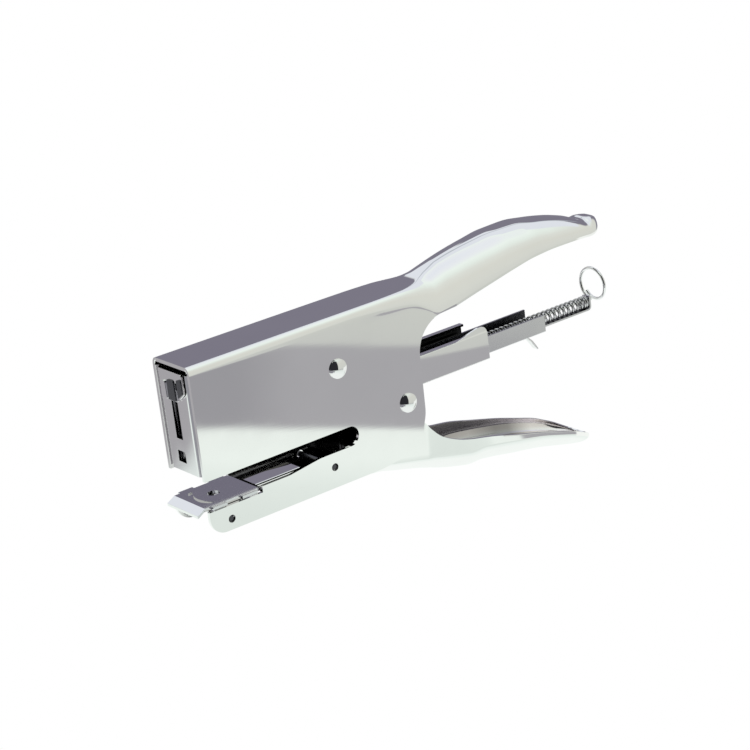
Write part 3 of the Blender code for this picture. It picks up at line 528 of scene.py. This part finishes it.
def build_shell():
    below, above = crossing(rear_edge(), SEAM)
    join = above[0][0]
    front_columns = [*spread(0.0, 60.0, 5.0), *spread(60.0, join, 1.5), join]
    columns = front_columns + [x for x, z in above[1:]] + [*spread(above[-1][0], 165.0, 1.6)][1:]
    columns += [165.0, 166.2, 167.4, 168.4, 169.2, 169.8, 170.3, 170.7, 171.1, 171.5, 171.8, 172.4, 173.2,
                174.0, 174.8, 175.5, 176.0, 176.5, 176.9, 177.2, 177.45, 177.65, 177.8]
    rows = []
    for x in columns:
        level, half, width, height, edge = station_at(UPPER_STATIONS, x)
        if x <= join:
            edge = SEAM
        elif x < above[-1][0]:
            edge = height_on(above, x)
        row = rib(level, max(half, 0.0), width, height, edge, 1)
        fade = min(max((113.0 - x) / 8.0, 0.0), 1.0)
        rows.append([(x, -y - (flank_swell(x, z) * fade if y > half - 0.01 and half > 3 else 0.0), z)
                     for y, z in row])
    loft = bmesh.new()
    ribbon(loft, rows)

    radius = (THROAT_TOP - THROAT_BOTTOM) / 2
    middle = (THROAT_TOP + THROAT_BOTTOM) / 2
    ledge, ledge_end, corner = -47.95, 20.6, 5.6
    outline = [(x, SEAM) for x in front_columns]
    outline += below[-2::-1]
    for step in range(13):
        angle = math.pi * (1.5 - step / 24)
        outline.append((corner * (1 + math.cos(angle)), ARM_BOTTOM + corner * (1 + math.sin(angle))))
    outline.append((0.0, ledge))
    outline += round_corners([(ledge_end, ledge, 0), (ledge_end, THROAT_FRONT_BOTTOM, 0.4),
                              (31.5, THROAT_FRONT_BOTTOM, 14.0), (44.0, THROAT_BOTTOM, 14.0),
                              (THROAT_END - radius - 0.5, THROAT_BOTTOM, 0)])
    for step in range(25):
        angle = math.pi * (step / 24 - 0.5)
        outline.append((THROAT_END - radius + radius * math.cos(angle), middle + radius * math.sin(angle)))
    outline.append((0.0, THROAT_TOP))
    holes = [circle(PIVOT_X, PIVOT_Z, RIVET_SHANK + GAP), circle(STOP_X, STOP_Z, RIVET_SHANK + GAP),
             circle(ANVIL_PIN_X, ANVIL_PIN_Z, 1.3, 28), circle(BRACE_PIN_X, BRACE_PIN_Z, 1.3, 28)]
    side = turned(filled([outline, *holes]), ((1, 0, 0), (0, 0, 1), (0, -1, 0)), (0, 0, 0))
    for vert in side.verts:
        vert.co.y = -SHELL_HALF
    inner_edges = [edge for edge in side.edges if len(edge.link_faces) == 2]
    bmesh.ops.dissolve_limit(side, angle_limit=math.radians(1.0), verts=[], edges=inner_edges)
    bm = merged(loft, side)
    bmesh.ops.remove_doubles(bm, verts=bm.verts, dist=2e-3)
    bmesh.ops.recalc_face_normals(bm, faces=bm.faces)
    top = max(bm.faces, key=lambda face: face.calc_center_median().z)
    if top.normal.z < 0:
        bmesh.ops.reverse_faces(bm, faces=bm.faces)
    shell = piece("body_shell_sheet", bm, "body_shell", smooth=None)
    mirror_across(shell)
    thicken(shell, SHELL_SHEET, INNER)
    soften(shell, 0.3)


# ---- lower handle ---------------------------------------------------------------------------------
def build_lower_handle():
    columns = [*spread(66.0, 86.0, 4.0), *spread(86.0, 97.5, 0.7), *spread(97.5, 151.0, 1.5)]
    columns += [151.0, 152.3, 153.6, 154.8, 156.0, 157.2, 158.3, 159.3, 160.2, 161.0, 161.7, 162.3, 162.9,
                163.4, 163.8, 164.1, 164.4, 164.6, 164.8]
    bm = bmesh.new()
    rows = []
    for x in columns:
        level, half, width, height, edge = station_at(LOWER_STATIONS, x)
        rows.append([(x, -y, z) for y, z in rib(level, max(half, 0.0), width, height, edge, -1)])
    ribbon(bm, rows)
    bmesh.ops.remove_doubles(bm, verts=bm.verts, dist=2e-3)
    bmesh.ops.recalc_face_normals(bm, faces=bm.faces)
    low = min(bm.faces, key=lambda face: face.calc_center_median().z)
    if low.normal.z > 0:
        bmesh.ops.reverse_faces(bm, faces=bm.faces)
    handle = piece("lower_handle_trough", bm, "lower_handle", smooth=None)
    mirror_across(handle)
    thicken(handle, LEVER_SHEET, TROUGH)
    soften(handle, 0.2)

    corners = [(86.6, -56.0, 2.0), (86.6, -26.0, 7.0), (72.0, -21.0, 8.0), (50.0, -19.5, 8.0),
               (34.0, -6.0, 10.0), (13.5, -4.0, 2.5), (13.5, -13.5, 3.0), (30.0, -16.5, 10.0),
               (44.0, -26.0, 10.0), (58.0, -30.5, 8.0), (67.0, -42.0, 8.0), (67.0, -56.0, 2.0)]
    outlines = [round_corners(corners, 8), circle(PIVOT_X, PIVOT_Z, RIVET_SHANK + 0.3),
                circle(BRIDGE_PIN_X, BRIDGE_PIN_Z, BRIDGE_PIN_RADIUS + GAP, 28)]
    near = plate(outlines, -LEVER_HALF + 0.04, -LEVER_HALF + LEVER_SHEET - 0.04)
    far = plate(outlines, LEVER_HALF - LEVER_SHEET + 0.04, LEVER_HALF - 0.04)
    cheeks = piece("lever_cheeks", merged(near, far), "lower_handle")
    soften(cheeks, 0.15)


# ---- pieces refined from their CAD node -----------------------------------------------------------
def refined(name, width, segments=2, angle=35.0, material=None):
    """A copy of a CAD node with rounded sheet edges in its place."""
    source = NODES[name]
    bm = bmesh.new()
    bm.from_mesh(source.data)
    bmesh.ops.remove_doubles(bm, verts=bm.verts, dist=1e-6)
    bmesh.ops.dissolve_limit(bm, angle_limit=math.radians(0.5), verts=bm.verts, edges=bm.edges)
    mesh = bpy.data.meshes.new(name + "_sheet")
    bm.to_mesh(mesh)
    bm.free()
    mesh.shade_smooth()
    mesh.set_sharp_from_angle(angle=math.radians(35))
    obj = bpy.data.objects.new(name + "_sheet", mesh)
    show(obj, BODY_OF[name], SLOT_OF[name], [name], material)
    soften(obj, width, segments, angle)
    return obj


# ---- rivets, springs and wires --------------------------------------------------------------------
def build_rivet(node, x, z):
    """A shank with a low domed head on each side, turned about the axis across the head."""
    outside = SHELL_HALF + 0.02
    rim, steps, slope = 0.42, 12, math.radians(RIVET_SLOPE)
    ball = RIVET_HEAD / math.sin(slope)
    half = []
    for step in range(steps + 1):
        angle = slope * step / steps
        half.append((ball * math.sin(angle), outside + rim + ball * (math.cos(angle) - math.cos(slope))))
    half += [(RIVET_HEAD, outside + 0.08), (RIVET_HEAD - 0.08, outside), (RIVET_SHANK, outside)]
    profile = half + [(radius, -along) for radius, along in reversed(half)]
    turned_piece(node, x, z, profile, 64)


def turned_piece(node, x, z, profile, turns, material=None):
    """A profile of radius and distance across, turned about an axis across the head."""
    bm = bmesh.new()
    rows = []
    for turn in range(turns + 1):
        angle = 2 * math.pi * turn / turns
        rows.append([(x + radius * math.cos(angle), -along, z + radius * math.sin(angle))
                     for radius, along in profile])
    ribbon(bm, rows)
    bmesh.ops.remove_doubles(bm, verts=bm.verts, dist=1e-4)
    bmesh.ops.dissolve_degenerate(bm, edges=bm.edges, dist=1e-4)
    bmesh.ops.recalc_face_normals(bm, faces=bm.faces)
    piece(node + "_turned", bm, node, smooth=30, material=material)


def build_pin(node, x, z):
    """A pin with chamfered ends that lie a little below the side plates, painted dark grey as painted shade
    in its hole.
    """
    end, chamfer = SHELL_HALF - 0.3, 0.25
    half = [(0.0, end), (PIN_RADIUS - chamfer, end), (PIN_RADIUS, end - chamfer)]
    profile = half + [(radius, -along) for radius, along in reversed(half)]
    # the dark grey on the pin is painted shade
    turned_piece(node, x, z, profile, 32, PAINTED_SHADE_GREY)


def build_wire(name, points, radius, like, replaced=None):
    """A round wire through the points of the body frame."""
    curve = bpy.data.curves.new(name, "CURVE")
    curve.dimensions = "3D"
    curve.bevel_depth = radius * MM
    curve.bevel_resolution = 3
    curve.use_fill_caps = True
    spline = curve.splines.new("POLY")
    spline.points.add(len(points) - 1)
    for point, place in zip(spline.points, points):
        point.co = (*(BODY @ Vector(place)), 1.0)
    spline.use_smooth = True
    obj = bpy.data.objects.new(name, curve)
    return show(obj, BODY_OF[like], SLOT_OF[like], [like] if replaced is None else replaced)


def tangent_angle(x, z, radius, side):
    """Where a straight leg to (x, z) leaves a coil around the stop rivet."""
    reach = math.hypot(x - STOP_X, z - STOP_Z)
    return math.atan2(z - STOP_Z, x - STOP_X) + side * math.acos(radius / reach)


def build_return_spring():
    """A double torsion spring: one front leg under the bridge pin, two rear legs under the roof."""
    radius, thickness, turns = 3.9, 0.5, 3
    rear = (76.0, -SHELL_SHEET - 0.3 - thickness)
    front = (14.0, BRIDGE_PIN_Z - BRIDGE_PIN_RADIUS - 0.3 - thickness)
    start = tangent_angle(*rear, radius, 1)
    sweep = (tangent_angle(*front, radius, -1) - start) % (2 * math.pi) + 2 * math.pi * (turns - 1)
    outer, inner, steps = 6.3, 2.4, 32 * turns
    half = [(rear[0], -outer, rear[1])]
    for step in range(steps + 1):
        angle = start + sweep * step / steps
        y = -outer + (outer - inner) * step / steps
        half.append((STOP_X + radius * math.cos(angle), y, STOP_Z + radius * math.sin(angle)))
    half += [(front[0] + 1.4, -inner, front[1]), (front[0] + 0.8, -inner + 0.1, front[1]),
             (front[0] + 0.3, -inner + 0.5, front[1]), (front[0], -inner + 1.1, front[1])]
    other_half = [(x, -y, z) for x, y, z in reversed(half)]
    build_wire("return_spring_wire", half + other_half, thickness, "return_spring")


def build_follower_spring():
    """The compression spring on the rod, with its last turns close together at both ends."""
    radius, thickness, per_turn = 1.85, 0.42, 16
    middle = ROD_Z - 0.75
    low, high = PUSHER_FRONT + 12.6, RAIL_END - 0.7
    turns, closed = 62, 2
    points = []
    for step in range(turns * per_turn + 1):
        turn = step / per_turn
        open_turns = turns - 2 * closed
        closed_pitch = 2 * thickness + 0.06
        pitch = (high - low - 2 * closed * closed_pitch) / open_turns
        if turn < closed:
            along = low + closed_pitch * turn
        elif turn < turns - closed:
            along = low + closed * closed_pitch + pitch * (turn - closed)
        else:
            along = high - closed_pitch * (turns - turn)
        angle = 2 * math.pi * turn
        points.append((along, radius * math.cos(angle), middle + radius * math.sin(angle)))
    build_wire("follower_spring_wire", points, thickness, "follower_spring")


def build_guide_rod():
    """The rod inside the follower spring, whose end is wound into the pull ring."""
    centre_z = ROD_Z - 0.9 + RING_RADIUS
    points = [(30.0, 0.0, ROD_Z), (100.0, 0.0, ROD_Z), (RAIL_END + 1.2, 0.0, ROD_Z),
              (RAIL_END + 2.0, 0.1, ROD_Z - 0.1)]
    turns, pitch, steps = 1.12, 1.5, 64
    for step in range(steps + 1):
        angle = math.radians(-82) + 2 * math.pi * turns * step / steps
        along = RAIL_END + 3.0 + pitch * turns * step / steps
        points.append((along, RING_RADIUS * math.cos(angle), centre_z + RING_RADIUS * math.sin(angle)))
    build_wire("guide_rod_wire", points, ROD_RADIUS, "guide_rod")


def build_clip():
    """The bent clip in front of the nose: its back plate, one bright finger and two prongs painted dark grey
    as a painted dark reflection.
    """
    back = [(5.4, -12.2, 1.0), (5.9, -2.4, 0.8), (-7.0, -2.4, 0.8), (-7.0, -9.0, 1.2), (-3.9, -11.4, 0.3),
            (-3.9, -5.6, 0.4), (-2.9, -5.6, 0.4), (-2.9, -12.2, 0.3)]
    neck = upright([[(-0.8, -0.7), (1.0, -0.7), (1.0, 2.0), (-0.8, 2.0)]], -11.2, -8.8)
    back_plate = lengthwise([round_corners(back)], -1.0, -0.35)
    soften(piece("clip_back", merged(back_plate, neck), "driver_clip"), 0.2)
    finger = [(5.3, -12.0, 0.8), (4.9, -6.4, 0.9), (2.5, -5.6, 0.9), (2.3, -12.0, 0.4)]
    soften(piece("clip_finger", lengthwise([round_corners(finger)], -1.4, -0.96), "driver_clip"), 0.15)
    prongs = [[(1.5, -11.9, 0.3), (1.3, -5.2, 0.9), (-2.4, -5.0, 0.9), (-2.6, -11.9, 0.3)],
              [(-4.1, -10.8, 0.3), (-4.1, -4.6, 0.8), (-6.8, -3.8, 0.8), (-6.8, -8.8, 0.6)]]
    # the two prongs are painted dark grey, a painted reflection of something dark
    dark = lengthwise([round_corners(outline) for outline in prongs], -1.35, -0.96)
    soften(piece("clip_prongs", dark, "driver_clip", material=PAINTED_SHADE_GREY), 0.15)


def build_anvil_backing():
    """The dark plate that closes the anvil's hole from below."""
    outline = [(3.0, -7.3), (19.0, -7.3), (19.0, 7.3), (3.0, 7.3)]
    piece("anvil_backing", upright([outline], -50.2, -49.7), "anvil_plate")


def build_staples():
    """Single staples, glued side by side into a strip."""
    outer, inner, top, crown, foot = 6.3, 5.8, -26.1, 0.5, -32.5
    pitch, thickness = 0.72, 0.66
    outline = round_corners([(-outer, foot, 0), (-outer, top, 0.6), (outer, top, 0.6), (outer, foot, 0),
                             (inner, foot, 0), (inner, top - crown, 0.2), (-inner, top - crown, 0.2),
                             (-inner, foot, 0)], 3)
    count = int((STRIP_REAR - STRIP_FRONT) / pitch)
    parts = [lengthwise([outline], STRIP_FRONT + pitch * i, STRIP_FRONT + pitch * i + thickness)
             for i in range(count)]
    piece("staples", merged(*parts), "staple_strip")


build_shell()
build_lower_handle()
for name, width in (
    ("nose_plate", 0.2), ("driver_bridge", 0.2), ("magazine_bracket", 0.15), ("rail_latch", 0.12),
    ("pusher", 0.15), ("spring_sleeve", 0.2), ("bridge_pin", 0.25),
):
    refined(name, width)
# the blade behind the nose slot is painted near black as painted shade
refined("driver_blade", 0.1, material=PAINTED_SHADE_BLACK)
# the anvil's front lip, in front of the nose, gets the brighter chrome as a painted highlight
repaint(refined("anvil_plate", 0.22), CHROME, lambda centre, normal: centre.x < -0.2)
# the brace's floor low inside the arm is painted near black as painted shade
repaint(refined("arm_brace", 0.2), PAINTED_SHADE_BLACK, lambda centre, normal: centre.z < -50.0)
# faces inside the magazine are painted near black as painted shade
repaint(refined("magazine_channel", 0.08), PAINTED_SHADE_BLACK, looks_inside(-28.0))
# faces inside the rail are painted dark grey as painted shade
repaint(refined("staple_rail", 0.08), PAINTED_SHADE_GREY, looks_inside(-28.0))
build_anvil_backing()
build_clip()
build_rivet("pivot_rivet", PIVOT_X, PIVOT_Z)
build_rivet("stop_rivet", STOP_X, STOP_Z)
build_pin("anvil_pin", ANVIL_PIN_X, ANVIL_PIN_Z)
build_pin("brace_pin", BRACE_PIN_X, BRACE_PIN_Z)
build_return_spring()
build_follower_spring()
build_guide_rod()
build_staples()


# ---- camera ---------------------------------------------------------------------------------------
CAMERA_PLACE = (-0.47136, -0.59828, 0.23845)
TO_CAMERA = Vector((-0.59105, -0.7647, 0.25669)).normalized()
CAMERA_RIGHT = Vector((0.79052, -0.61242, -0.00421))
camera_data = bpy.data.cameras.new("camera")
camera_data.lens = 114.168
camera_data.sensor_width = 36.0
camera_data.clip_start = 0.05
camera_data.clip_end = 20.0
camera = bpy.data.objects.new("camera", camera_data)
bpy.context.scene.collection.objects.link(camera)
up = TO_CAMERA.cross(CAMERA_RIGHT).normalized()
axes = Matrix((up.cross(TO_CAMERA), up, TO_CAMERA)).transposed().to_4x4()
camera.matrix_world = Matrix.Translation(CAMERA_PLACE) @ axes
bpy.context.scene.camera = camera


# ---- floor and light ------------------------------------------------------------------------------
def linear(red, green, blue):
    """Linear colour from display values up to 255."""
    return tuple(((value / 255 + 0.055) / 1.055) ** 2.4 for value in (red, green, blue))


def build_floor():
    half, low = 3.0, CAD_BOX[0][2] - 0.0002
    mesh = bpy.data.meshes.new("floor")
    mesh.from_pydata([(-half, -half, low), (half, -half, low), (half, half, low), (-half, half, low)], [],
                     [(0, 1, 2, 3)])
    made = bpy.data.objects.new("floor", mesh)
    bpy.context.scene.collection.objects.link(made)
    material = bpy.data.materials.new("pale_floor")
    material.use_nodes = True
    tree = material.node_tree
    tree.nodes.remove(tree.nodes["Principled BSDF"])
    glow = shade(tree, "ShaderNodeEmission", Color=(1.0, 1.0, 1.0, 1.0), Strength=1.0)
    tree.links.new(glow.outputs["Emission"], tree.nodes["Material Output"].inputs["Surface"])
    mesh.materials.append(material)
    made.visible_glossy = False


class Sky:
    """The studio around the object: each direction's colour, from its height and its turn in degrees."""

    def __init__(self, tree):
        self.tree = tree
        place = tree.nodes.new("ShaderNodeTexCoord").outputs["Generated"]
        split = tree.nodes.new("ShaderNodeSeparateXYZ")
        tree.links.new(place, split.inputs["Vector"])
        self.x, self.y, self.z = split.outputs
        self.height = self.degrees(self.math("ARCSINE", self.z))
        self.behind = self.degrees(self.math("ARCTAN2", self.x, self.y))
        self.front = self.degrees(self.math("ARCTAN2", self.x, self.math("MULTIPLY", self.y, -1.0)))
        self.across = self.degrees(self.math("ARCTAN2", self.y, self.z))

    def math(self, operation, first, second=None):
        made = self.tree.nodes.new("ShaderNodeMath")
        made.operation = operation
        for socket, value in zip(made.inputs, (first, second)):
            if isinstance(value, (int, float)):
                socket.default_value = value
            elif value is not None:
                self.tree.links.new(value, socket)
        return made.outputs[0]

    def degrees(self, value):
        return self.math("MULTIPLY", value, 180 / math.pi)

    def step(self, value, low, high):
        """0 below low, 1 above high, smooth between."""
        made = shade(self.tree, "ShaderNodeMapRange", From_Min=low, From_Max=high, To_Min=0.0, To_Max=1.0)
        made.interpolation_type = "SMOOTHSTEP"
        self.tree.links.new(value, made.inputs["Value"])
        return made.outputs["Result"]

    def window(self, value, low, high, soft):
        rise = self.step(value, low - soft, low + soft)
        fall = self.step(value, high - soft, high + soft)
        return self.math("SUBTRACT", rise, fall)

    def profile(self, stops):
        """A colour for each height."""
        ramp = self.tree.nodes.new("ShaderNodeValToRGB")
        share = shade(self.tree, "ShaderNodeMapRange", From_Min=-90.0, From_Max=90.0, To_Min=0.0, To_Max=1.0)
        self.tree.links.new(self.height, share.inputs["Value"])
        self.tree.links.new(share.outputs["Result"], ramp.inputs["Fac"])
        marks = ramp.color_ramp.elements
        while len(marks) < len(stops):
            marks.new(0.5)
        for mark, (height, colour) in zip(marks, stops):
            mark.position = (height + 90.0) / 180.0
            mark.color = (*linear(*colour), 1.0)
        return ramp.outputs["Color"]

    def patch(self, under, colour, *windows):
        """A patch of colour over what is under it, where all its windows are open."""
        share = None
        for window in windows:
            opened = self.window(*window)
            share = opened if share is None else self.math("MULTIPLY", share, opened)
        mix = self.tree.nodes.new("ShaderNodeMix")
        mix.data_type = "RGBA"
        first, second = (socket for socket in mix.inputs if socket.type == "RGBA")
        second.default_value = (*linear(*colour), 1.0)
        self.tree.links.new(share, mix.inputs["Factor"])
        self.tree.links.new(under, first)
        return next(socket for socket in mix.outputs if socket.type == "RGBA")


def build_world():
    world = bpy.data.worlds.new("studio")
    bpy.context.scene.world = world
    world.use_nodes = True
    tree = world.node_tree
    sky = Sky(tree)
    colour = sky.profile([
        (-90.0, (252, 255, 254)), (-40.0, (250, 255, 252)), (-24.0, (240, 248, 244)),
        (-18.6, (224, 232, 227)), (-17.6, (230, 238, 233)), (-16.6, (246, 253, 248)),
        (-14.0, (200, 202, 198)), (-12.6, (208, 211, 204)), (-8.0, (214, 216, 210)),
        (0.0, (217, 219, 212)), (20.0, (219, 220, 212)), (35.0, (224, 227, 220)),
        (48.0, (234, 243, 236)), (58.0, (241, 250, 244)), (70.0, (238, 242, 246)),
        (90.0, (232, 236, 246)),
    ])
    # a grey band level with the side plates, darker towards the nose
    band = (sky.height, -16.12, -14.2, 0.12)
    colour = sky.patch(colour, (157, 156, 161), (sky.front, -5.0, 70.0, 6.0), band)
    colour = sky.patch(colour, (170, 169, 173), (sky.front, 35.0, 76.0, 1.0), band)
    # white beside the handles
    colour = sky.patch(colour, (250, 253, 250), (sky.front, 62.0, 175.0, 3.0), (sky.height, -24.0, -8.0, 2.0))
    # the dark wall behind, which the top of the head reflects, and the pale wall above it
    colour = sky.patch(colour, (126, 123, 137), (sky.behind, 8.0, 75.0, 5.0), (sky.height, -8.0, 31.5, 1.2))
    colour = sky.patch(colour, (228, 232, 240), (sky.behind, -20.0, 90.0, 6.0), (sky.height, 31.5, 60.0, 1.2))
    # grey behind the nose
    wall = (sky.behind, -62.0, -6.0, 4.0)
    colour = sky.patch(colour, (172, 170, 174), wall, (sky.height, -25.1, 12.0, 0.5))
    # the dark side of the studio in front of the nose, and the grey floor under it
    colour = sky.patch(colour, (44, 44, 48), (sky.front, -76.0, 14.0, 2.0), (sky.height, -16.4, 46.0, 0.8))
    floor = (sky.front, -80.0, -24.0, 4.0)
    colour = sky.patch(colour, (126, 124, 134), floor, (sky.height, -36.0, -16.4, 1.0))
    # the gap between two ceiling panels
    colour = sky.patch(colour, (186, 192, 200), (sky.across, 44.0, 47.5, 1.0), (sky.height, 25.0, 91.0, 2.0))
    # grey beside the corner of the nose
    corner = (sky.front, -110.0, -10.0, 4.0)
    colour = sky.patch(colour, (150, 150, 156), corner, (sky.height, -30.0, -18.5, 1.0))
    tree.links.new(colour, tree.nodes["Background"].inputs["Color"])


build_floor()
build_world()
bpy.context.scene.view_settings.view_transform = "Standard"
